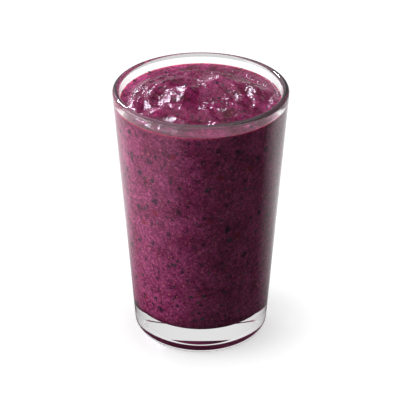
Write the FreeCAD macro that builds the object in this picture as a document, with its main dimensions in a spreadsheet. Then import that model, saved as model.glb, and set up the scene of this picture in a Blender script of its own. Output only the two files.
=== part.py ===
import FreeCAD, Part
import math
import os

import Sketcher

# A thick berry smoothie in the clear tapered tumbler it is served in.
# Frame: origin at the centre of the foot, on the table; +Z up; the front is towards -Y.

doc = FreeCAD.newDocument("BerrySmoothie")
sheet = doc.addObject("Spreadsheet::Sheet", "Sizes")

# Driving dimensions in millimetres: name, value, what it is.
sizeRows = [
    ("glass_height", 132.0, "table to the top of the lip"),
    ("mouth_diameter", 85.0, "outside, where the wall's line meets the lip's height"),
    ("foot_diameter", 67.0, "outside, where the wall's line meets the table"),
    ("wall_at_mouth", 3.2, "measured level, at the lip's height"),
    ("wall_at_foot", 3.4, "measured level, at the table's height"),
    ("floor_height", 13.0, "table to the inside floor: the heavy sham base"),
    ("heel_radius", 4.8, "outside corner between wall and foot"),
    ("floor_corner_radius", 8.0, "inside corner between wall and floor"),
    ("ring_width", 2.0, "the flat ring that stands on the table"),
    ("ring_step", 0.9, "width of the slope from that ring up to the groove under the base"),
    ("groove_outer_height", 0.38, "table to the groove's outer edge"),
    ("groove_inner_height", 0.6, "table to the groove's inner edge"),
    ("groove_radius", 65.0, "roundness of the groove, seen in section"),
    ("pad_radius", 16.5, "the level pad in the middle of the underside"),
    ("pad_step", 0.8, "width of the slope from the groove down to the pad"),
    ("pad_height", 0.3, "table to the pad"),
    ("headroom", 6.0, "lip down to the mean line where the smoothie meets the glass"),
    ("fill_lean", 1.0, "how much higher that line is at the back, and lower at the front"),
    ("meniscus_rise", 0.8, "how far the smoothie climbs the glass"),
    ("meniscus_width", 1.8, "how fast that climb dies away from the glass"),
    ("fold_fade_width", 7.0, "band inside the glass over which the folds die away"),
    ("swirl_depth", 0.55, "depth of the stirred groove, crest to mean"),
    ("swirl_pitch", 8.5, "distance from one turn of the groove to the next"),
]
for row, (name, value, note) in enumerate(sizeRows, start=1):
    sheet.set(f"A{row}", name)
    sheet.set(f"B{row}", str(value))
    sheet.set(f"C{row}", note)
    sheet.setAlias(f"B{row}", name)
doc.recompute()

# The spooned and poured folds of the surface. Each is a lopsided hill: its top in plan, the
# heading of its crest in degrees from +X, the reach of the crest ahead of and behind the top,
# the spread to the left and right of the crest, its height, how much the crest bends, and the
# share of that spread over which the crest is rounded.
foldNames = ("top_x", "top_y", "heading", "ahead", "behind", "left", "right", "height", "bend", "round")
foldRows = {
    "peak": (-6.2, 4.6, 252.0, 22.0, 6.5, 5.0, 13.0, 5.4, 0.006, 0.12),
    "peak_shoulder": (0.5, 5.5, 340.0, 9.0, 6.0, 5.0, 6.0, 1.3, 0.0, 0.35),
    "back_left_swell": (-18.0, 14.5, 22.0, 18.0, 13.0, 9.0, 5.0, 2.2, 0.012, 0.25),
    "left_roll": (-27.0, 2.0, 70.0, 15.0, 13.0, 5.0, 6.0, 1.5, 0.015, 0.3),
    "back_right_mound": (11.5, 16.5, 320.0, 20.0, 11.0, 6.5, 12.0, 3.7, 0.010, 0.28),
    "mound_root": (3.5, 13.0, 200.0, 10.0, 8.0, 5.0, 5.0, 1.2, 0.0, 0.4),
    "middle_ridge": (10.0, -4.5, 8.0, 14.0, 9.0, 5.0, 5.0, 1.7, -0.010, 0.25),
    "front_left_mound": (-18.5, -15.0, 6.0, 12.0, 9.0, 7.0, 3.6, 2.8, -0.012, 0.22),
    "front_right_ridge": (17.0, -12.0, 12.0, 8.0, 14.0, 6.0, 4.5, 2.6, 0.010, 0.2),
    "front_wave": (-4.0, -14.0, 300.0, 7.0, 6.0, 3.5, 6.0, 2.1, 0.0, 0.2),
    "front_wave_small": (3.2, -15.0, 292.0, 7.0, 5.0, 3.0, 5.0, 2.0, 0.0, 0.2),
    "front_lip": (-9.5, -22.5, 320.0, 7.0, 6.0, 3.5, 5.5, 1.9, 0.0, 0.2),
    "front_right_lip": (12.0, -24.0, 15.0, 10.0, 9.0, 4.0, 4.5, 1.4, 0.0, 0.3),
    "right_roll": (27.0, 6.0, 255.0, 16.0, 13.0, 6.0, 6.0, 1.3, -0.020, 0.3),
    "valley": (2.5, 0.5, 8.0, 13.0, 7.0, 5.5, 4.0, -2.0, 0.0, 0.3),
    "pit": (22.5, -7.5, 60.0, 4.0, 4.0, 3.0, 3.0, -1.5, 0.0, 0.3),
}
footRounding = 0.16        # share of a fold's spread over which its foot is rounded
gridCells = 64             # of the surface's net, each way


def size(name):
    """A driving dimension as the sheet holds it, in millimetres."""
    return float(sheet.get(name))


def inner_radius(height):
    """Radius of the glass's inside wall at a height above the table."""
    at_foot = size("foot_diameter") / 2 - size("wall_at_foot")
    at_mouth = size("mouth_diameter") / 2 - size("wall_at_mouth")
    return at_foot + (at_mouth - at_foot) * height / size("glass_height")


def fill_level():
    """Mean height of the line where the smoothie meets the glass."""
    return size("glass_height") - size("headroom")


def hill(share, rounding):
    """1 at a fold's crest and 0 past its foot, with straight sides between two roundings."""
    slope = 1 + rounding - math.hypot(share, rounding)
    lifted = (slope + math.hypot(slope, footRounding)) / 2
    return lifted / ((1 + math.hypot(1, footRounding)) / 2) if slope > -3 else 0.0


def fold_height(x, y, fold):
    """Height that one fold adds at a point of the plan."""
    turn = math.radians(fold["heading"])
    east, north = x - fold["top_x"], y - fold["top_y"]
    along = east * math.cos(turn) + north * math.sin(turn)
    across = north * math.cos(turn) - east * math.sin(turn)
    across -= fold["bend"] * along * along
    reach = fold["ahead"] if along > 0 else fold["behind"]
    spread = fold["left"] if across > 0 else fold["right"]
    crest, side = hill(along / reach, fold["round"]), hill(across / spread, fold["round"])
    return fold["height"] * crest * side


def surface_height(x, y):
    """Height of the smoothie's surface above the table at a point of the plan."""
    wall = inner_radius(fill_level())
    radius = math.hypot(x, y)
    inside = max(wall - radius, 0.0)
    fade = min(inside / size("fold_fade_width"), 1.0)
    fade = fade * fade * (3 - 2 * fade)
    level = fill_level() + size("fill_lean") * y / wall
    climb = size("meniscus_rise") * math.exp(-inside / size("meniscus_width"))
    turns = radius / size("swirl_pitch") - math.atan2(y, x) / (2 * math.pi)
    swirl = size("swirl_depth") * math.sin(2 * math.pi * turns) * min(radius / wall, 1.0)
    folds = sum(fold_height(x, y, dict(zip(foldNames, row))) for row in foldRows.values())
    return level - size("meniscus_rise") + climb + fade * (swirl + folds)


def origin_part(body, role):
    """The plane or axis of a body's own origin that has this role."""
    return next(part for part in body.Origin.OriginFeatures if part.Role == role)


def upright_sketch(body, name):
    """A sketch on the body's XZ plane, where its own Y is the height above the table."""
    sketch = body.newObject("Sketcher::SketchObject", name)
    sketch.AttachmentSupport = [(origin_part(body, "XZ_Plane"), "")]
    sketch.MapMode = "FlatFace"
    return sketch


def point(radius, height):
    """A point of a sketch: distance from the axis, height above the table."""
    return FreeCAD.Vector(radius, height, 0)


def line(sketch, start, end, construction=False):
    """Draws a straight edge and gives its index."""
    return sketch.addGeometry(Part.LineSegment(point(*start), point(*end)), construction)


def arc(sketch, start, middle, end):
    """Draws a round edge through three points and gives its index."""
    return sketch.addGeometry(Part.Arc(point(*start), point(*middle), point(*end)), False)


def bind(sketch, kind, *where, to, guess):
    """Adds a dimension with a first value and binds it to an expression of the sheet."""
    index = sketch.addConstraint(Sketcher.Constraint(kind, *where, guess))
    sketch.setExpression(f"Constraints[{index}]", to)


axisLine = -2              # the sketch's own vertical axis, and -1 is its horizontal one
startPoint, endPoint, centrePoint = 1, 2, 3


def wall_guide(sketch, foot_radius, mouth_radius):
    """A construction line up one face of the wall; both radii are (expression, guess)."""
    top = size("glass_height")
    guide = line(sketch, (foot_radius[1], 0), (mouth_radius[1], top), construction=True)
    bind(sketch, "DistanceX", -1, 1, guide, startPoint, to=foot_radius[0], guess=foot_radius[1])
    bind(sketch, "DistanceX", -1, 1, guide, endPoint, to=mouth_radius[0], guess=mouth_radius[1])
    bind(sketch, "DistanceY", -1, 1, guide, endPoint, to="Sizes.glass_height", guess=top)
    sketch.addConstraint(Sketcher.Constraint("PointOnObject", guide, startPoint, -1))
    return guide


def inside_faces(sketch, top_height):
    """Draws the inside of the glass: wall, round corner and floor. Gives wall and floor."""
    foot = size("foot_diameter") / 2 - size("wall_at_foot")
    mouth = size("mouth_diameter") / 2 - size("wall_at_mouth")
    floor, corner = size("floor_height"), size("floor_corner_radius")
    guide = wall_guide(sketch, ("Sizes.foot_diameter / 2 - Sizes.wall_at_foot", foot),
                       ("Sizes.mouth_diameter / 2 - Sizes.wall_at_mouth", mouth))
    low_radius, side_radius = inner_radius(floor) - corner, inner_radius(floor + corner)
    wall = line(sketch, (inner_radius(top_height), top_height), (side_radius, floor + corner))
    bend = arc(sketch, (side_radius, floor + corner),
               (low_radius + 0.7 * corner, floor + 0.3 * corner), (low_radius, floor))
    base = line(sketch, (low_radius, floor), (0, floor))
    for end in (startPoint, endPoint):
        sketch.addConstraint(Sketcher.Constraint("PointOnObject", wall, end, guide))
    join_arc(sketch, wall, endPoint, bend, base, startPoint)
    bind(sketch, "Radius", bend, to="Sizes.floor_corner_radius", guess=corner)
    sketch.addConstraint(Sketcher.Constraint("Horizontal", base))
    sketch.addConstraint(Sketcher.Constraint("PointOnObject", base, endPoint, axisLine))
    bind(sketch, "DistanceY", -1, 1, base, endPoint, to="Sizes.floor_height", guess=floor)
    return wall, base


def join_arc(sketch, before, before_end, bend, after, after_end):
    """Joins an arc smoothly to the edges on its two sides, whichever way round it was drawn."""
    meeting = sketch.getPoint(before, before_end)
    near, far = startPoint, endPoint
    if (sketch.getPoint(bend, startPoint) - meeting).Length > 0.001:
        near, far = endPoint, startPoint
    sketch.addConstraint(Sketcher.Constraint("Tangent", bend, near, before, before_end))
    sketch.addConstraint(Sketcher.Constraint("Tangent", bend, far, after, after_end))


def revolve(body, sketch, name):
    """Turns the sketch a whole turn round the body's upright axis."""
    solid = body.newObject("PartDesign::Revolution", name)
    solid.Profile = sketch
    solid.ReferenceAxis = (sketch, ["V_Axis"])
    solid.Angle = 360
    return solid


def make_glass():
    """The tumbler: underside, foot ring, round heel, wall, round lip and inside."""
    body = doc.addObject("PartDesign::Body", "Glass")
    body.Label = "glass"
    sketch = upright_sketch(body, "GlassProfile")
    height, heel = size("glass_height"), size("heel_radius")
    foot, mouth = size("foot_diameter") / 2, size("mouth_diameter") / 2
    lip = size("wall_at_mouth") / 2

    wall_in, floor = inside_faces(sketch, height - lip)
    guide = wall_guide(sketch, ("Sizes.foot_diameter / 2", foot), ("Sizes.mouth_diameter / 2", mouth))
    stand = line(sketch, (foot - heel - size("ring_width"), 0), (foot - heel, 0))
    bend = arc(sketch, (foot - heel, 0), (foot - 0.3 * heel, 0.3 * heel), (foot, heel))
    wall_out = line(sketch, (foot, heel), (mouth, height - lip))
    rounding = arc(sketch, (mouth, height - lip), (mouth - lip, height), (mouth - 2 * lip, height - lip))

    join_arc(sketch, stand, endPoint, bend, wall_out, startPoint)
    join_arc(sketch, wall_out, endPoint, rounding, wall_in, startPoint)
    for end in (startPoint, endPoint):
        sketch.addConstraint(Sketcher.Constraint("PointOnObject", wall_out, end, guide))
    bind(sketch, "Radius", bend, to="Sizes.heel_radius", guess=heel)
    level = line(sketch, (0, height), (mouth, height), construction=True)
    sketch.addConstraint(Sketcher.Constraint("PointOnObject", level, startPoint, axisLine))
    sketch.addConstraint(Sketcher.Constraint("Coincident", level, endPoint, guide, endPoint))
    sketch.addConstraint(Sketcher.Constraint("Horizontal", level))
    sketch.addConstraint(Sketcher.Constraint("Tangent", rounding, level))
    sketch.addConstraint(Sketcher.Constraint("PointOnObject", stand, startPoint, -1))
    sketch.addConstraint(Sketcher.Constraint("Horizontal", stand))
    bind(sketch, "DistanceX", stand, startPoint, stand, endPoint,
         to="Sizes.ring_width", guess=size("ring_width"))
    draw_underside(sketch, stand, floor)
    revolve(body, sketch, "GlassTurned")
    return body


def inner_and_outer(sketch, edge):
    """The two ends of an edge, the one nearer the axis first."""
    return sorted((startPoint, endPoint), key=lambda end: sketch.getPoint(edge, end).x)


def draw_underside(sketch, stand, floor):
    """Draws the pad, the groove round it and the axis up to the floor, and closes the outline."""
    pad, pad_high = size("pad_radius"), size("pad_height")
    inner, inner_high = pad + size("pad_step"), size("groove_inner_height")
    ring = sketch.getPoint(stand, startPoint).x
    outer, outer_high = ring - size("ring_step"), size("groove_outer_height")
    arch = (outer - inner) ** 2 / (8 * size("groove_radius"))

    middle = line(sketch, (0, sketch.getPoint(floor, endPoint).y), (0, pad_high))
    level = line(sketch, (0, pad_high), (pad, pad_high))
    rise = line(sketch, (pad, pad_high), (inner, inner_high))
    groove = arc(sketch, (inner, inner_high),
                 ((inner + outer) / 2, (inner_high + outer_high) / 2 + arch), (outer, outer_high))
    drop = line(sketch, (outer, outer_high), (ring, 0))

    near, far = inner_and_outer(sketch, groove)
    join = Sketcher.Constraint
    sketch.addConstraint(join("Coincident", middle, startPoint, floor, endPoint))
    sketch.addConstraint(join("PointOnObject", middle, endPoint, axisLine))
    sketch.addConstraint(join("Coincident", middle, endPoint, level, startPoint))
    sketch.addConstraint(join("Horizontal", level))
    sketch.addConstraint(join("Coincident", level, endPoint, rise, startPoint))
    sketch.addConstraint(join("Coincident", rise, endPoint, groove, near))
    sketch.addConstraint(join("Coincident", groove, far, drop, startPoint))
    sketch.addConstraint(join("Coincident", drop, endPoint, stand, startPoint))
    bind(sketch, "DistanceX", level, startPoint, level, endPoint, to="Sizes.pad_radius", guess=pad)
    bind(sketch, "DistanceY", -1, 1, level, startPoint, to="Sizes.pad_height", guess=pad_high)
    bind(sketch, "DistanceX", rise, startPoint, rise, endPoint, to="Sizes.pad_step", guess=inner - pad)
    bind(sketch, "DistanceY", -1, 1, rise, endPoint, to="Sizes.groove_inner_height", guess=inner_high)
    bind(sketch, "DistanceX", drop, startPoint, drop, endPoint, to="Sizes.ring_step", guess=ring - outer)
    bind(sketch, "DistanceY", -1, 1, drop, startPoint, to="Sizes.groove_outer_height", guess=outer_high)
    bind(sketch, "Radius", groove, to="Sizes.groove_radius", guess=size("groove_radius"))


def make_filling():
    """All that the glass can hold, filled to the lip's height: the smoothie before its top is cut."""
    body = doc.addObject("PartDesign::Body", "Filling")
    sketch = upright_sketch(body, "FillingProfile")
    height = size("glass_height")
    wall, floor = inside_faces(sketch, height)
    top = line(sketch, (0, height), (inner_radius(height), height))
    middle = line(sketch, (0, size("floor_height")), (0, height))
    join = Sketcher.Constraint
    sketch.addConstraint(join("Coincident", top, endPoint, wall, startPoint))
    sketch.addConstraint(join("Coincident", middle, endPoint, top, startPoint))
    sketch.addConstraint(join("Coincident", floor, endPoint, middle, startPoint))
    sketch.addConstraint(join("Vertical", middle))
    sketch.addConstraint(join("Horizontal", top))
    bind(sketch, "DistanceY", -1, 1, top, startPoint, to="Sizes.glass_height", guess=height)
    revolve(body, sketch, "FillingTurned")
    return body


def make_relief():
    """A block under the folded surface, wider than the glass and deeper than the smoothie."""
    half = inner_radius(size("glass_height")) + size("wall_at_mouth")
    steps = [half * (2 * step / gridCells - 1) for step in range(gridCells + 1)]
    net = [[FreeCAD.Vector(x, y, surface_height(x, y)) for y in steps] for x in steps]
    surface = Part.BSplineSurface()
    surface.interpolate(net)
    relief = doc.addObject("Part::Feature", "Relief")
    relief.Shape = surface.toShape().extrude(FreeCAD.Vector(0, 0, -size("glass_height")))
    return relief


def make_smoothie():
    """The smoothie: the filling up to its folded surface."""
    smoothie = doc.addObject("Part::MultiCommon", "Smoothie")
    smoothie.Shapes = [make_filling(), make_relief()]
    smoothie.Label = "smoothie"
    return smoothie


subparts = [make_glass(), make_smoothie()]
doc.recompute()

for thing in doc.Objects:
    faults = [state for state in thing.State if state in ("Invalid", "Error")]
    if faults:
        raise RuntimeError(f"{thing.Name} did not build: {faults}")
for thing in subparts:
    if thing.Shape.isNull() or not thing.Shape.isValid():
        raise RuntimeError(f"{thing.Label} has no valid shape")

os.makedirs("parts", exist_ok=True)
for thing in subparts:
    thing.Shape.exportStep(f"parts/{thing.Label}.step")
    box = thing.Shape.BoundBox
    print(thing.Label, "solids", len(thing.Shape.Solids), "volume ml", round(thing.Shape.Volume / 1000, 2),
          "low", round(box.ZMin, 3), "high", round(box.ZMax, 3), "wide", round(box.XLength, 3))
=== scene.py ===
import math

import bpy
import numpy as np
from mathutils import Matrix, Vector, noise


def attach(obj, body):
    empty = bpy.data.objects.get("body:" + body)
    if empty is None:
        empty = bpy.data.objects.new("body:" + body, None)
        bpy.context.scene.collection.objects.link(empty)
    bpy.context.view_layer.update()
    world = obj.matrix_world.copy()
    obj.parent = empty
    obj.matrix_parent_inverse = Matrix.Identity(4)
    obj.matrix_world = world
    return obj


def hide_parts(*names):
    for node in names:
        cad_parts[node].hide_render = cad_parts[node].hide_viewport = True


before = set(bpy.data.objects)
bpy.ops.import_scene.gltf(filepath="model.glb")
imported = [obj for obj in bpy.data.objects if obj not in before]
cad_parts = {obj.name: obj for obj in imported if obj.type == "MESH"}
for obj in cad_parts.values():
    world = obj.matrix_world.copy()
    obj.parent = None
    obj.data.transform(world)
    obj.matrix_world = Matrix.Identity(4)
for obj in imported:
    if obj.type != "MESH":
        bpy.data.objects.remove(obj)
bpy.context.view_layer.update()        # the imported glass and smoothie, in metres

mm = 0.001


def deselectAll():
    if bpy.context.object and bpy.context.object.mode != "OBJECT":
        bpy.ops.object.mode_set(mode="OBJECT")
    bpy.ops.object.select_all(action="DESELECT")


def readPoints(piece):
    points = np.empty(len(piece.data.vertices) * 3)
    piece.data.vertices.foreach_get("co", points)
    return points.reshape(-1, 3)


def writePoints(piece, points):
    piece.data.vertices.foreach_set("co", points.astype(np.float32).ravel())
    piece.data.update()


def smoothStep(share):
    share = np.clip(share, 0, 1)
    return share * share * (3 - 2 * share)


def arcPoints(centre, radius, startAngle, endAngle, steps):
    turns = [math.radians(startAngle + (endAngle - startAngle) * k / steps) for k in range(steps + 1)]
    return [(centre[0] + radius * math.cos(t), centre[1] + radius * math.sin(t)) for t in turns]


def finishPiece(piece, name, materials, replaced=()):
    piece.name = name
    piece.data.name = name
    piece.data.materials.clear()
    for material in materials:
        piece.data.materials.append(material)
    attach(piece, "root")
    if replaced:
        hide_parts(*replaced)


def addNode(holder, kind, inputs=None, **settings):
    # holder is a material or the world; a socket is linked and anything else is set
    node = holder.node_tree.nodes.new(kind)
    for key, value in settings.items():
        setattr(node, key, value)
    for key, value in (inputs or {}).items():
        if isinstance(value, bpy.types.NodeSocket):
            holder.node_tree.links.new(value, node.inputs[key])
        else:
            node.inputs[key].default_value = value
    return node


def mathNode(holder, operation, first, second):
    return addNode(holder, "ShaderNodeMath", {0: first, 1: second}, operation=operation).outputs[0]


def rangeNode(holder, value, span, low=0.0, high=1.0, smooth=False):
    # low at the start of the span, high at its end, held outside it
    return addNode(holder, "ShaderNodeMapRange", {
        "Value": value, "From Min": span[0], "From Max": span[1], "To Min": low, "To Max": high,
    }, interpolation_type="SMOOTHSTEP" if smooth else "LINEAR").outputs[0]


def mixValue(holder, share, first, second):
    return addNode(holder, "ShaderNodeMix", {0: share, 2: first, 3: second}).outputs[0]


def mixColour(holder, share, first, second, blend="MIX"):
    node = addNode(holder, "ShaderNodeMix", {0: share, 6: first, 7: second}, data_type="RGBA",
                   blend_type=blend)
    return node.outputs[2]


def mixShader(holder, share, first, second):
    return addNode(holder, "ShaderNodeMixShader", {0: share, 1: first, 2: second}).outputs[0]


def grey(level):
    return (level, level, level, 1)


def newMaterial(name):
    material = bpy.data.materials.new(name)
    material.use_nodes = True
    material.node_tree.nodes.clear()
    return material


def closeMaterial(material, shader):
    addNode(material, "ShaderNodeOutputMaterial", {"Surface": shader})
    return material


tumbler = {
    "height": 132 * mm, "mouthRadius": 42.5 * mm, "footRadius": 33.5 * mm,
    "wallAtMouth": 3.2 * mm, "wallAtFoot": 3.4 * mm, "floorHeight": 13 * mm,
    "heelRadius": 4.8 * mm, "cornerRadius": 8 * mm,
    "ringWidth": 2 * mm, "ringStep": 0.9 * mm,
    "padRadius": 16.5 * mm, "padStep": 0.8 * mm, "padHeight": 0.3 * mm,
    "grooveInner": 0.6 * mm, "grooveOuter": 0.38 * mm, "grooveRadius": 65 * mm,
    # the lip band's glass is tinted grey and made less clear: painted shade on the rim
    "lipBand": 1.7 * mm, "lipShadeTone": 0.5, "lipClearness": 0.85, "ior": 1.52,
    "shadowTint": (0.97, 0.98, 0.98, 1), "lipHalvings": 60, "weldGap": 0.002 * mm,
    "turns": 256, "lipSteps": 18, "heelSteps": 10, "cornerSteps": 14, "wallSteps": 24, "padSteps": 14,
    "stepSteps": 8, "grooveSteps": 20, "floorShares": (0.75, 0.5, 0.25, 0),
}


def outerRadius(z):
    return tumbler["footRadius"] + (tumbler["mouthRadius"] - tumbler["footRadius"]) * z / tumbler["height"]


def innerRadius(z):
    atFoot = tumbler["footRadius"] - tumbler["wallAtFoot"]
    atMouth = tumbler["mouthRadius"] - tumbler["wallAtMouth"]
    return atFoot + (atMouth - atFoot) * z / tumbler["height"]


def wallBetween(start, end):
    # points on the straight wall, without its two ends
    shares = [k / tumbler["wallSteps"] for k in range(1, tumbler["wallSteps"])]
    return [(start[0] + (end[0] - start[0]) * share, start[1] + (end[1] - start[1]) * share)
            for share in shares]


def cornerBetween(radius, lean, wallPoint, levelHeight):
    # centre of an arc that touches a leaning wall line and a level line
    z = levelHeight + radius
    reach = wallPoint(z)
    return reach - radius / math.cos(lean), z


def floorCorner():
    # centre of the round between the wall and the floor inside the glass, and the lean of the wall
    lean = math.atan((innerRadius(tumbler["height"]) - innerRadius(0)) / tumbler["height"])
    z = tumbler["floorHeight"] + tumbler["cornerRadius"]
    return innerRadius(z) - tumbler["cornerRadius"] / math.cos(lean), z, lean


def stepPoints(start, width, high, low):
    shares = [k / tumbler["stepSteps"] for k in range(tumbler["stepSteps"] + 1)]
    return [(start + width * share, low + (high - low) * (1 + math.cos(math.pi * share)) / 2)
            for share in shares]


def glassProfile():
    g = tumbler
    outerLean = math.atan((g["mouthRadius"] - g["footRadius"]) / g["height"])
    cornerX, cornerZ, innerLean = floorCorner()
    heelX, heelZ = cornerBetween(g["heelRadius"], outerLean, outerRadius, 0)
    ringRadius = heelX - g["ringWidth"]
    grooveStart = g["padRadius"] + g["padStep"]
    grooveEnd = ringRadius - g["ringStep"]
    grooveRise = (grooveEnd - grooveStart) ** 2 / (8 * g["grooveRadius"])
    points = [(g["padRadius"] * k / g["padSteps"], g["padHeight"]) for k in range(g["padSteps"])]
    points += stepPoints(g["padRadius"], g["padStep"], g["padHeight"], g["grooveInner"])
    for k in range(1, g["grooveSteps"]):
        share = k / g["grooveSteps"]
        chord = g["grooveInner"] + (g["grooveOuter"] - g["grooveInner"]) * share
        arch = 4 * grooveRise * share * (1 - share)
        points.append((grooveStart + (grooveEnd - grooveStart) * share, chord + arch))
    points += stepPoints(grooveEnd, g["ringStep"], g["grooveOuter"], 0)
    heel = arcPoints((heelX, heelZ), g["heelRadius"], -90, -math.degrees(outerLean), g["heelSteps"])
    points += [((ringRadius + heelX) / 2, 0)] + heel
    lipRadius, lipX, lipZ = lipCircle(outerLean, innerLean)
    lip = arcPoints((lipX, lipZ), lipRadius, -math.degrees(outerLean),
                    180 - math.degrees(innerLean), g["lipSteps"])
    points += wallBetween(points[-1], lip[0]) + lip
    corner = arcPoints((cornerX, cornerZ), g["cornerRadius"], -math.degrees(innerLean), -90,
                       g["cornerSteps"])
    points += wallBetween(lip[-1], corner[0]) + corner
    points += [(cornerX * share, g["floorHeight"]) for share in g["floorShares"]]
    return points


def lipCircle(outerLean, innerLean):
    # the round that touches both faces of the wall and the height of the lip
    low, high = 0.0, tumbler["wallAtMouth"]
    for _ in range(tumbler["lipHalvings"]):
        radius = (low + high) / 2
        z = tumbler["height"] - radius
        outerEdge = outerRadius(z) - radius / math.cos(outerLean)
        room = outerEdge - (innerRadius(z) + radius / math.cos(innerLean))
        low, high = (radius, high) if room > 0 else (low, radius)
    return radius, outerRadius(z) - radius / math.cos(outerLean), z


def spinProfile(points, turns):
    # a ring of points laid on the profile, cut open on the axis and turned once round it
    deselectAll()
    bpy.ops.mesh.primitive_circle_add(vertices=len(points), radius=tumbler["footRadius"])
    piece = bpy.context.object
    writePoints(piece, np.array([(r, 0, z) for r, z in points]))
    bpy.ops.object.mode_set(mode="EDIT")
    bpy.ops.mesh.select_mode(type="EDGE")
    bpy.ops.mesh.select_all(action="DESELECT")
    bpy.ops.object.mode_set(mode="OBJECT")
    for edge in piece.data.edges:
        edge.select = {0, len(points) - 1} == set(edge.vertices)
    bpy.ops.object.mode_set(mode="EDIT")
    bpy.ops.mesh.delete(type="EDGE_FACE")
    bpy.ops.mesh.select_all(action="SELECT")
    bpy.ops.mesh.spin(steps=turns, angle=2 * math.pi, center=(0, 0, 0), axis=(0, 0, 1))
    bpy.ops.mesh.select_all(action="SELECT")
    bpy.ops.mesh.remove_doubles(threshold=tumbler["weldGap"])
    bpy.ops.mesh.normals_make_consistent(inside=False)
    bpy.ops.object.mode_set(mode="OBJECT")
    bpy.ops.object.shade_smooth()
    return piece


def clearGlass(name, colour, clearness):
    # light passes straight through to what is behind, so the drink isn't left in the dark
    material = newMaterial(name)
    glass = addNode(material, "ShaderNodeBsdfPrincipled", {
        "Base Color": colour, "Roughness": 0.0, "IOR": tumbler["ior"], "Transmission Weight": clearness})
    through = addNode(material, "ShaderNodeBsdfTransparent", {"Color": tumbler["shadowTint"]})
    path = addNode(material, "ShaderNodeLightPath")
    return closeMaterial(material, mixShader(material, path.outputs["Is Shadow Ray"], glass.outputs[0],
                                             through.outputs[0]))


def paintLipShade(piece):
    # painted shade: the top band has a grey, less clear glass, to darken the pink that the wall carries up
    # from the drink
    lipLow = tumbler["height"] - tumbler["lipBand"]
    for face in piece.data.polygons:
        face.material_index = 1 if face.center.z > lipLow else 0


glassPiece = spinProfile(glassProfile(), tumbler["turns"])
# the second glass, for the lip, is grey with painted shade
finishPiece(glassPiece, "glassTumbler",
            [clearGlass("clearGlass", grey(1), 1.0),
             clearGlass("lipShadedGlass", grey(tumbler["lipShadeTone"]), tumbler["lipClearness"])], ["glass"])
paintLipShade(glassPiece)
print("glass", len(glassPiece.data.polygons), "faces")


drink = {
    "fillLevel": 126 * mm, "fillLean": 1.0 * mm, "meniscusRise": 0.8 * mm, "meniscusWidth": 1.8 * mm,
    "foldFade": 7 * mm, "swirlDepth": 0.55 * mm, "swirlPitch": 8.5 * mm,
    "intoWall": 0.15 * mm, "cells": 256, "footRounding": 0.16,
    "sideRings": 26, "cornerRings": 14,
    "lumpHeight": 0.50 * mm, "lumpSize": 6.5 * mm, "streakHeight": 0.36 * mm, "streakSize": 3.0 * mm,
    "grainHeight": 0.12 * mm, "grainSize": 1.2 * mm,
    "lumpLayer": 3.1, "streakLayer": 8.7, "grainLayer": 15.2, "streakRound": 20 * mm,
    "streakTurn": 0.35, "streakSkew": 0.2, "noiseFalloff": 0.9, "noiseStep": 2.1,
    "wallPull": 12, "sideTop": 3 * mm, "sideEnd": 1 * mm, "floorRings": (0.66, 0.33, 0.02),
    "floorReach": 0.01 * mm, "hillEnd": -3,
}

# in mm: top x and y, heading in degrees, reach ahead and behind, spread left and right, height, then
# the bend of the crest and its rounding
folds = {
    "peak": (-6.2, 4.6, 252.0, 22.0, 6.5, 5.0, 13.0, 5.4, 0.006, 0.12),
    "peakShoulder": (0.5, 5.5, 340.0, 9.0, 6.0, 5.0, 6.0, 1.3, 0.0, 0.35),
    "backLeftSwell": (-18.0, 14.5, 22.0, 18.0, 13.0, 9.0, 5.0, 2.2, 0.012, 0.25),
    "leftRoll": (-27.0, 2.0, 70.0, 15.0, 13.0, 5.0, 6.0, 1.5, 0.015, 0.3),
    "backRightMound": (11.5, 16.5, 320.0, 20.0, 11.0, 6.5, 12.0, 3.7, 0.010, 0.28),
    "moundRoot": (3.5, 13.0, 200.0, 10.0, 8.0, 5.0, 5.0, 1.2, 0.0, 0.4),
    "middleRidge": (10.0, -4.5, 8.0, 14.0, 9.0, 5.0, 5.0, 1.7, -0.010, 0.25),
    "frontLeftMound": (-18.5, -15.0, 6.0, 12.0, 9.0, 7.0, 3.6, 2.8, -0.012, 0.22),
    "frontRightRidge": (17.0, -12.0, 12.0, 8.0, 14.0, 6.0, 4.5, 2.6, 0.010, 0.2),
    "frontWave": (-4.0, -14.0, 300.0, 7.0, 6.0, 3.5, 6.0, 2.1, 0.0, 0.2),
    "frontWaveSmall": (3.2, -15.0, 292.0, 7.0, 5.0, 3.0, 5.0, 2.0, 0.0, 0.2),
    "frontLip": (-9.5, -22.5, 320.0, 7.0, 6.0, 3.5, 5.5, 1.9, 0.0, 0.2),
    "frontRightLip": (12.0, -24.0, 15.0, 10.0, 9.0, 4.0, 4.5, 1.4, 0.0, 0.3),
    "rightRoll": (27.0, 6.0, 255.0, 16.0, 13.0, 6.0, 6.0, 1.3, -0.020, 0.3),
    "valley": (2.5, 0.5, 8.0, 13.0, 7.0, 5.5, 4.0, -2.0, 0.0, 0.3),
    "pit": (22.5, -7.5, 60.0, 4.0, 4.0, 3.0, 3.0, -1.5, 0.0, 0.3),
}


def hill(share, rounding):
    # 1 at the crest, 0 past the foot, straight sides between two roundings
    foot = drink["footRounding"]
    slope = 1 + rounding - np.hypot(share, rounding)
    lifted = (slope + np.hypot(slope, foot)) / 2 / ((1 + math.hypot(1, foot)) / 2)
    return np.where(slope > drink["hillEnd"], lifted, 0)


def foldHeight(x, y, fold):
    topX, topY, heading, ahead, behind, left, right, height, bend, rounding = fold
    turn = math.radians(heading)
    east, north = x / mm - topX, y / mm - topY
    along = east * math.cos(turn) + north * math.sin(turn)
    across = north * math.cos(turn) - east * math.sin(turn) - bend * along * along
    reach = np.where(along > 0, ahead, behind)
    spread = np.where(across > 0, left, right)
    return height * mm * hill(along / reach, rounding) * hill(across / spread, rounding)


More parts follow.
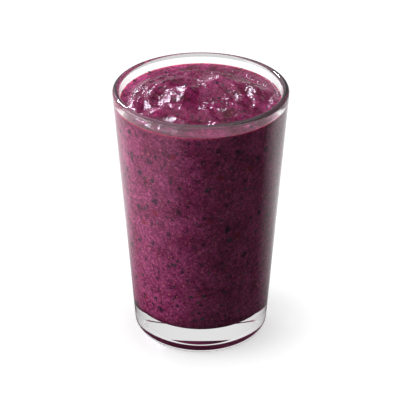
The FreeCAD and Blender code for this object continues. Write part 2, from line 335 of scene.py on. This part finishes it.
def noiseAt(x, y, size, layer, octaves=2):
    falloff, step = drink["noiseFalloff"], drink["noiseStep"]
    return np.array([noise.fractal(Vector((u / size, v / size, layer)), falloff, step, octaves)
                     for u, v in zip(x.tolist(), y.tolist())])


def surfaceHeight(x, y):
    d = drink
    wall = innerRadius(d["fillLevel"])
    radius, angle = np.hypot(x, y), np.arctan2(y, x)
    inside = np.maximum(wall - radius, 0)
    fade = smoothStep(inside / d["foldFade"])
    level = d["fillLevel"] + d["fillLean"] * y / wall
    climb = d["meniscusRise"] * np.exp(-inside / d["meniscusWidth"])
    turns = radius / d["swirlPitch"] - angle / (2 * math.pi)
    swirl = d["swirlDepth"] * np.sin(2 * math.pi * turns) * np.minimum(radius / wall, 1)
    total = swirl + sum(foldHeight(x, y, fold) for fold in folds.values())
    total = total + d["lumpHeight"] * noiseAt(x, y, d["lumpSize"], d["lumpLayer"], octaves=3)
    streakX = angle * d["streakRound"] * d["streakTurn"] + x * d["streakSkew"]
    streakY = radius + y * d["streakSkew"]
    total = total + d["streakHeight"] * noiseAt(streakX, streakY, d["streakSize"], d["streakLayer"])
    total = total + d["grainHeight"] * noiseAt(x, y, d["grainSize"], d["grainLayer"])
    return level - d["meniscusRise"] + climb + fade * total


def squareToDisc(x, y):
    # rings of a square net laid as rings of a disc
    ring = np.maximum(np.abs(x), np.abs(y))
    spoke = np.where(np.abs(x) > np.abs(y), y / np.where(x == 0, 1, x), x / np.where(y == 0, 1, y))
    turn = spoke * math.pi / 4
    alongX = np.abs(x) > np.abs(y)
    discX = np.where(alongX, np.sign(x) * ring * np.cos(turn), np.sign(y) * ring * np.sin(turn))
    discY = np.where(alongX, np.sign(x) * ring * np.sin(turn), np.sign(y) * ring * np.cos(turn))
    return discX, discY


def buildSmoothie():
    d = drink
    deselectAll()
    bpy.ops.mesh.primitive_grid_add(x_subdivisions=d["cells"], y_subdivisions=d["cells"], size=2)
    piece = bpy.context.object
    flat = readPoints(piece)
    x, y = squareToDisc(flat[:, 0], flat[:, 1])
    rim = innerRadius(d["fillLevel"]) + d["intoWall"]
    z = surfaceHeight(x * rim, y * rim)
    share = np.hypot(x, y) ** d["wallPull"]
    wallReach = 1 + (innerRadius(z) / innerRadius(d["fillLevel"]) - 1) * share
    writePoints(piece, np.stack([x * rim * wallReach, y * rim * wallReach, z], axis=1))
    # the side: the rim of the net drawn down the wall, round the corner and over the floor
    bpy.ops.object.mode_set(mode="EDIT")
    bpy.ops.mesh.select_mode(type="EDGE")
    bpy.ops.mesh.select_all(action="SELECT")
    bpy.ops.mesh.region_to_loop()
    cornerX, cornerZ, innerLean = floorCorner()
    heights = np.linspace(d["fillLevel"] - d["sideTop"], cornerZ + d["sideEnd"], d["sideRings"])
    path = [(innerRadius(v), v) for v in heights]
    path += arcPoints((cornerX, cornerZ), tumbler["cornerRadius"], -math.degrees(innerLean), -90,
                      d["cornerRings"])
    path += [(cornerX * s, tumbler["floorHeight"]) for s in d["floorRings"]]
    onFloor = tumbler["floorHeight"] + d["floorReach"]
    path = [(r + d["intoWall"], v - d["intoWall"] if v <= onFloor else v) for r, v in path]
    last = rim
    for r, v in path:
        bpy.ops.mesh.extrude_edges_move(TRANSFORM_OT_translate={"value": (0, 0, 0)})
        bpy.ops.transform.resize(value=(r / last, r / last, 0), center_override=(0, 0, v))
        last = r
    bpy.ops.mesh.merge(type="CENTER")
    bpy.ops.mesh.select_all(action="SELECT")
    bpy.ops.mesh.normals_make_consistent(inside=False)
    bpy.ops.object.mode_set(mode="OBJECT")
    bpy.ops.object.shade_smooth()
    return piece


looks = {
    # painted shade: the top's tones are darker and more saturated than the side's tones of the same drink
    "deepTone": (0.130, 0.006, 0.035, 1), "paleTone": (0.385, 0.031, 0.158, 1),
    "sideDeep": (0.272, 0.026, 0.107, 1), "sidePale": (0.456, 0.068, 0.214, 1),
    # the rim colour here is painted light: a bright crimson band along the wall, for light that shines
    # through the thin edge of the drink
    "paintedRimLight": (0.72, 0.075, 0.17, 1), "rimBand": 1.0 * mm,
    "underSkin": (0.022, 0.014, 0.036, 1), "redPulp": (0.330, 0.020, 0.050, 1),
    "spark": (0.95, 0.30, 0.27, 1),
    "wetness": 0.085, "sideRoughness": 0.9, "ior": 1.4,
    "pulpScale": 800.0, "pulpStrength": 0.6, "pulpBump": 0.0005,
    "driftScale": 110.0, "driftSpan": (0.32, 0.68), "grainSpan": (0.3, 0.7), "grainRoughness": 0.6,
    # scale, then what the darkest and the palest grain multiply the tone by
    "grains": ((650.0, (0.52, 0.44, 0.52, 1), (1.52, 1.64, 1.52, 1)),
               (1700.0, (0.44, 0.36, 0.44, 1), (1.62, 1.74, 1.62, 1))),
    # scale, where a spot starts to fade and where it ends, and on the side its strength and tone
    "topSpots": (290.0, 0.05, 0.16),
    "sideSpots": ((95.0, 0.04, 0.26, 0.75, "redPulp"), (110.0, 0.05, 0.27, 0.9, "underSkin"),
                  (190.0, 0.05, 0.27, 0.9, "underSkin"), (330.0, 0.05, 0.22, 0.85, "underSkin"),
                  (430.0, 0.04, 0.19, 0.9, "spark")),
    "raggedScale": 900.0, "raggedShift": 1.6 * mm,
}


def rampNode(material, value, span, lowColour, highColour):
    node = addNode(material, "ShaderNodeValToRGB", {0: value})
    for element, position, colour in zip(node.color_ramp.elements, span, (lowColour, highColour)):
        element.position = position
        element.color = colour
    return node.outputs[0]


def noiseNode(material, place, scale, detail=2.0):
    return addNode(material, "ShaderNodeTexNoise", {"Vector": place, "Scale": scale, "Detail": detail,
                                                    "Roughness": looks["grainRoughness"]}).outputs[0]


def spotShare(material, place, scale, inner, outer):
    # 1 inside soft spots scattered through the drink, 0 between them
    cells = addNode(material, "ShaderNodeTexVoronoi", {"Vector": place, "Scale": scale})
    return rangeNode(material, cells.outputs["Distance"], (inner, outer), 1.0, 0.0, smooth=True)


def grainedTone(material, place, deep, pale):
    drift = noiseNode(material, place, looks["driftScale"], detail=3.0)
    tone = rampNode(material, drift, looks["driftSpan"], deep, pale)
    for scale, dark, light in looks["grains"]:
        grain = rampNode(material, noiseNode(material, place, scale), looks["grainSpan"], dark, light)
        tone = mixColour(material, 1.0, tone, grain, "MULTIPLY")
    return tone


def wetSmoothie():
    material = newMaterial("wetSmoothie")
    place = addNode(material, "ShaderNodeTexCoord").outputs["Object"]
    # the top takes the darker tones, painted shade on the drink's top
    colour = grainedTone(material, place, looks["deepTone"], looks["paleTone"])
    split = addNode(material, "ShaderNodeSeparateXYZ", {0: place})
    flat = addNode(material, "ShaderNodeCombineXYZ", {0: split.outputs[0], 1: split.outputs[1]})
    radius = addNode(material, "ShaderNodeVectorMath", {0: flat.outputs[0]}, operation="LENGTH")
    edge = innerRadius(drink["fillLevel"])
    # painted light: the top turns a brighter crimson in the last band before the wall, for light shining
    # through the thin edge
    paintedLightNearRim = rangeNode(material, radius.outputs["Value"], (edge - looks["rimBand"], edge))
    colour = mixColour(material, paintedLightNearRim, colour, looks["paintedRimLight"])
    colour = mixColour(material, spotShare(material, place, *looks["topSpots"]), colour, looks["underSkin"])
    pulp = noiseNode(material, place, looks["pulpScale"], detail=3.0)
    bump = addNode(material, "ShaderNodeBump", {
        "Height": pulp, "Strength": looks["pulpStrength"], "Distance": looks["pulpBump"]})
    shader = addNode(material, "ShaderNodeBsdfPrincipled", {
        "Base Color": colour, "Roughness": looks["wetness"], "IOR": looks["ior"], "Normal": bump.outputs[0]})
    return closeMaterial(material, shader.outputs[0])


def smoothieAtGlass():
    material = newMaterial("smoothieAtGlass")
    place = addNode(material, "ShaderNodeTexCoord").outputs["Object"]
    colour = grainedTone(material, place, looks["sideDeep"], looks["sidePale"])
    # the spots' places are shaken a little, so that their edges are ragged
    ragged = addNode(material, "ShaderNodeTexNoise", {"Vector": place, "Scale": looks["raggedScale"]})
    shift = addNode(material, "ShaderNodeVectorMath", {
        0: ragged.outputs["Color"], 1: (looks["raggedShift"],) * 3}, operation="MULTIPLY")
    shaken = addNode(material, "ShaderNodeVectorMath", {0: place, 1: shift.outputs[0]},
                     operation="ADD").outputs[0]
    for scale, inner, outer, strength, tone in looks["sideSpots"]:
        spots = spotShare(material, shaken, scale, inner, outer)
        share = mathNode(material, "MULTIPLY", spots, strength)
        colour = mixColour(material, share, colour, looks[tone])
    split = addNode(material, "ShaderNodeSeparateXYZ", {0: place})
    fill = drink["fillLevel"]
    level = addNode(material, "ShaderNodeMath", {
        0: split.outputs[1], 1: -drink["fillLean"] / innerRadius(fill), 2: split.outputs[2]},
        operation="MULTIPLY_ADD")
    # painted light: the side turns a brighter crimson just under the top, for light shining through the thin
    # edge
    paintedLightNearTop = rangeNode(material, level.outputs[0], (fill - looks["rimBand"], fill))
    colour = mixColour(material, paintedLightNearTop, colour, looks["paintedRimLight"])
    shader = addNode(material, "ShaderNodeBsdfPrincipled", {
        "Base Color": colour, "Roughness": looks["sideRoughness"], "IOR": looks["ior"],
        "Specular IOR Level": 0.0})
    return closeMaterial(material, shader.outputs[0])


def paintSides(piece):
    # the second material is for what touches the glass, where nothing shines
    for face in piece.data.polygons:
        face.material_index = 0 if face.index < drink["cells"] ** 2 else 1


smoothiePiece = buildSmoothie()
finishPiece(smoothiePiece, "smoothieFill",
            [wetSmoothie(), smoothieAtGlass()], ["smoothie"])
paintSides(smoothiePiece)
print("smoothie", len(smoothiePiece.data.polygons), "faces")


flecks = {
    "skin": {"top": 120, "side": 420, "rim": 60, "length": (0.5 * mm, 2.0 * mm), "thin": 0.16,
             "colour": (0.012, 0.008, 0.020, 1), "roughness": 0.45},
    "redSkin": {"top": 60, "side": 120, "rim": 6, "length": (0.5 * mm, 1.4 * mm), "thin": 0.16,
                "colour": (0.330, 0.012, 0.022, 1), "roughness": 0.45},
    "seeds": {"top": 90, "side": 420, "rim": 10, "length": (0.28 * mm, 0.62 * mm), "thin": 0.5,
              "colour": (0.80, 0.33, 0.26, 1), "roughness": 0.5},
    "bubbles": {"top": 150, "side": 0, "rim": 70, "length": (0.3 * mm, 0.9 * mm), "thin": 0.62,
                "colour": (0.330, 0.030, 0.100, 1), "roughness": 0.05},
}


fleckShape = {
    "edgeGap": 1.5 * mm, "rimBand": 1.2 * mm, "slopeStep": 0.3 * mm, "topGap": 2 * mm, "wallTilt": -0.07,
    "sunk": 0.05 * mm, "sinkShare": 0.2, "thickOnTop": 0.3 * mm, "thickAtWall": 0.12 * mm,
    "widthLeast": 0.45, "widthMore": 0.5, "ragged": ((2, 0.16), (3, 0.12)),
    "phaseRange": 6, "turnRange": 6.28, "firstSeed": 11,
}


def pickPlaces(kind, rng):
    # centre, outward way and how deep the fleck sits, on the surface, along the rim and behind the wall
    f = fleckShape
    edge = innerRadius(drink["fillLevel"])
    radius = np.sqrt(rng.random(kind["top"])) * (edge - f["edgeGap"])
    rimRadius = np.full(kind["rim"], edge) - rng.random(kind["rim"]) ** 2 * f["rimBand"]
    radius = np.concatenate([radius, rimRadius])
    turn = rng.random(len(radius)) * 2 * math.pi
    x, y = radius * np.cos(turn), radius * np.sin(turn)
    step = f["slopeStep"]
    z = surfaceHeight(x, y)
    slopeX = (surfaceHeight(x + step, y) - surfaceHeight(x - step, y)) / (2 * step)
    slopeY = (surfaceHeight(x, y + step) - surfaceHeight(x, y - step)) / (2 * step)
    top = [(Vector(p), Vector((-u, -v, 1)).normalized(), 0.0)
           for p, u, v in zip(np.stack([x, y, z], 1), slopeX, slopeY)]
    low, high = tumbler["floorHeight"] + tumbler["cornerRadius"], drink["fillLevel"] - f["topGap"]
    heights = low + (high - low) * rng.random(kind["side"])
    angles = rng.random(kind["side"]) * 2 * math.pi
    side = []
    for height, angle in zip(heights, angles):
        reach = innerRadius(height) + drink["intoWall"]
        way = Vector((math.cos(angle), math.sin(angle), f["wallTilt"])).normalized()
        centre = Vector((reach * math.cos(angle), reach * math.sin(angle), height))
        side.append((centre, way, f["sunk"]))
    return top + side


def fleckPoints(base, kind, centre, way, sunk, rng):
    # the model squashed to one fleck's own size, with its own ragged outline, and laid in its place
    f = fleckShape
    low, high = kind["length"]
    length = low + (high - low) * rng.random() ** 2
    width = length * (f["widthLeast"] + f["widthMore"] * rng.random())
    thick = min(length * kind["thin"], f["thickAtWall"] if sunk else f["thickOnTop"])
    angle = np.arctan2(base[:, 1], base[:, 0])
    ragged = 1
    for lobes, depth in f["ragged"]:
        ragged = ragged + depth * np.sin(lobes * angle + rng.random() * f["phaseRange"])
    outline = np.stack([ragged, ragged, np.ones_like(ragged)], 1)
    shape = base * np.array([length / 2, width / 2, thick / 2]) * outline
    turn = way.to_track_quat("Z", "Y").to_matrix() @ Matrix.Rotation(rng.random() * f["turnRange"], 3, "Z")
    return shape @ np.array(turn).T + np.array(centre - way * sunk * f["sinkShare"])


def scatterFlecks(kind, seed):
    # one fleck is modelled and copied to every place, and all are joined
    rng = np.random.default_rng(seed)
    deselectAll()
    bpy.ops.mesh.primitive_ico_sphere_add(subdivisions=2, radius=1)
    model = bpy.context.object
    base = readPoints(model)
    copies = []
    for centre, way, sunk in pickPlaces(kind, rng):
        fleck = model.copy()
        fleck.data = model.data.copy()
        bpy.context.scene.collection.objects.link(fleck)
        writePoints(fleck, fleckPoints(base, kind, centre, way, sunk, rng))
        copies.append(fleck)
    bpy.data.objects.remove(model)
    deselectAll()
    for fleck in copies:
        fleck.select_set(True)
    bpy.context.view_layer.objects.active = copies[0]
    bpy.ops.object.join()
    bpy.ops.object.shade_smooth()
    return bpy.context.object


def fleckMaterial(name, kind):
    material = newMaterial(name)
    shader = addNode(material, "ShaderNodeBsdfPrincipled", {
        "Base Color": kind["colour"], "Roughness": kind["roughness"], "IOR": looks["ior"]})
    return closeMaterial(material, shader.outputs[0])


for seed, (name, kind) in enumerate(flecks.items(), start=fleckShape["firstSeed"]):
    piece = scatterFlecks(kind, seed)
    finishPiece(piece, name, [fleckMaterial(name + "Look", kind)])
    print(name, len(piece.data.polygons), "faces")


studio = {
    "floorSize": 6.0, "floorGap": 0.0001,    # the gap keeps the floor off the foot ring
    "floorTone": 0.85, "floorGlow": 0.45, "floorDim": 0.4,
    "floorPlain": 0.036, "plainGlow": 1.12,    # from here to twice as far the floor turns plain white
    "floorMirror": 0.06, "floorBehind": 0.95, "floorLeft": 0.65,
    "behindSpan": (-0.01, 0.09), "leftSpan": (-0.05, -0.16),
    "keyPower": 8.4, "keySize": 0.8, "keyPlace": (-0.9, -0.03, 0.35),
    "fillPower": 1.1, "fillSize": 0.7, "fillPlace": (0.85, -0.35, 0.3),
    "sparkPower": 8.5, "sparkSize": 0.16, "sparkPlace": (-0.41, 0.69, 0.66),
    "topPower": 2.4, "topSize": 0.9, "topPlace": (0.05, 0.15, 1.0), "aim": (0, 0, 0.07),
    "backdrop": 0.35, "sideLeft": 0.45, "sideRight": 0.3, "behindCamera": 0.14,
    "sideSpan": (-1.0, 1.0), "backSpan": (0.1, 0.75), "frontSpan": (-0.7, 0.0),
    "wallsDark": 0.6, "skyDark": 0.82, "wallsSpan": (-0.3, 0.25), "skySpan": (0.12, 0.56),
    "sheenWay": (-0.41, 0.69, 0.60), "sheen": 1.1, "sheenRest": 0.06, "sheenSpan": (0.87, 0.985),
    "sheenColour": (0.86, 0.84, 1.0, 1),
}

view = {"lens": 143.1, "sensor": 36, "rise": 29.43, "heightsAway": 6, "target": (-0.0004, 0, 0.0703)}


def areaLight(name):
    data = bpy.data.lights.new(name, "AREA")
    data.energy = studio[name + "Power"]
    data.size = studio[name + "Size"]
    lamp = bpy.data.objects.new(name, data)
    bpy.context.scene.collection.objects.link(lamp)
    lamp.location = studio[name + "Place"]
    lamp.visible_transmission = False
    way = Vector(studio["aim"]) - Vector(studio[name + "Place"])
    lamp.rotation_euler = way.to_track_quat("-Z", "Y").to_euler()
    return lamp


def rayKinds(holder):
    # rays that the camera sees, straight or through glass; through glass after a diffuse bounce; mirrored
    path = addNode(holder, "ShaderNodeLightPath")
    direct = mathNode(holder, "LESS_THAN", path.outputs["Diffuse Depth"], 0.5)
    through = path.outputs["Is Transmission Ray"]
    seenThrough = mathNode(holder, "MULTIPLY", through, direct)
    seen = mathNode(holder, "MAXIMUM", path.outputs["Is Camera Ray"], seenThrough)
    bounced = mathNode(holder, "SUBTRACT", through, seenThrough)
    return seen, bounced, path.outputs["Is Glossy Ray"]


def glowNode(holder, strength):
    return addNode(holder, "ShaderNodeEmission", {"Color": grey(1), "Strength": strength}).outputs[0]


def floorMaterial():
    material = newMaterial("paleFloor")
    dim = addNode(material, "ShaderNodeBsdfDiffuse", {"Color": grey(studio["floorDim"])})
    tone = addNode(material, "ShaderNodeBsdfDiffuse", {"Color": grey(studio["floorTone"])})
    both = addNode(material, "ShaderNodeAddShader", {
        0: tone.outputs[0], 1: glowNode(material, studio["floorGlow"])})
    place = addNode(material, "ShaderNodeTexCoord").outputs["Object"]
    split = addNode(material, "ShaderNodeSeparateXYZ", {0: place})
    # behind and at the left the floor is bright, but only to mirrored rays
    behind = rangeNode(material, split.outputs[1], studio["behindSpan"],
                       studio["floorMirror"], studio["floorBehind"])
    left = rangeNode(material, split.outputs[0], studio["leftSpan"],
                     studio["floorMirror"], studio["floorLeft"])
    mirror = glowNode(material, mathNode(material, "MAXIMUM", behind, left))
    away = addNode(material, "ShaderNodeVectorMath", {0: place}, operation="LENGTH")
    far = rangeNode(material, away.outputs["Value"], (studio["floorPlain"], 2 * studio["floorPlain"]))
    shown = mixShader(material, far, both.outputs[0], glowNode(material, studio["plainGlow"]))
    seen, _, glossy = rayKinds(material)
    unseen = mixShader(material, glossy, dim.outputs[0], mirror)
    material.cycles.emission_sampling = "NONE"
    return closeMaterial(material, mixShader(material, seen, unseen, shown))


def studioWorld():
    world = bpy.data.worlds.new("studio")
    world.use_nodes = True
    world.node_tree.nodes.clear()
    way = addNode(world, "ShaderNodeTexCoord").outputs["Generated"]
    east, north, up = addNode(world, "ShaderNodeSeparateXYZ", {0: way}).outputs
    seenWay, bounced, glossy = rayKinds(world)
    # the walls, as they light the drink
    side = rangeNode(world, east, studio["sideSpan"], studio["sideLeft"], studio["sideRight"])
    back = rangeNode(world, north, studio["backSpan"], smooth=True)
    front = rangeNode(world, north, studio["frontSpan"])
    level = mixValue(world, back, mixValue(world, front, studio["behindCamera"], side), studio["backdrop"])
    # the bright patch that the wet surface mirrors
    toSheen = addNode(world, "ShaderNodeVectorMath", {0: way, 1: Vector(studio["sheenWay"]).normalized()},
                      operation="DOT_PRODUCT")
    sheen = rangeNode(world, toSheen.outputs["Value"], studio["sheenSpan"],
                      studio["sheenRest"], studio["sheen"], smooth=True)
    mirrored = mixValue(world, glossy, level, sheen)
    # the walls, as they are seen
    behind = rangeNode(world, north, studio["wallsSpan"], studio["wallsDark"], 1.0)
    above = rangeNode(world, up, studio["skySpan"], 1.0, studio["skyDark"])
    seen = mixValue(world, seenWay, mirrored, mathNode(world, "MULTIPLY", behind, above))
    once = mixValue(world, bounced, seen, 0.0)
    onlyMirrored = mathNode(world, "SUBTRACT", glossy, seenWay)
    tint = mixColour(world, onlyMirrored, grey(1), studio["sheenColour"])
    glow = addNode(world, "ShaderNodeBackground", {"Color": tint, "Strength": once})
    addNode(world, "ShaderNodeOutputWorld", {"Surface": glow.outputs[0]})
    bpy.context.scene.world = world


def placeCamera():
    data = bpy.data.cameras.new("camera")
    data.lens = view["lens"]
    data.sensor_width = view["sensor"]
    camera = bpy.data.objects.new("camera", data)
    bpy.context.scene.collection.objects.link(camera)
    height = tumbler["height"]
    rise, distance = math.radians(view["rise"]), view["heightsAway"] * height
    camera.location = (0, -distance * math.cos(rise), height / 2 + distance * math.sin(rise))
    target = Vector(view["target"])
    camera.rotation_euler = (target - camera.location).to_track_quat("-Z", "Y").to_euler()
    bpy.context.scene.camera = camera


deselectAll()
bpy.ops.mesh.primitive_plane_add(size=studio["floorSize"], location=(0, 0, -studio["floorGap"]))
floorPiece = bpy.context.object
floorPiece.name = "floor"
floorPiece.data.materials.append(floorMaterial())
areaLight("key")
fill = areaLight("fill")
fill.visible_glossy = False    # lights the right side without a highlight
spark = areaLight("spark")
spark.visible_diffuse = False    # only a highlight on the wet surface
spark.data.color = studio["sheenColour"][:3]
areaLight("top")
studioWorld()
placeCamera()
bpy.context.scene.view_settings.view_transform = "Standard"
bpy.context.scene.cycles.caustics_reflective = False
print("studio ready")
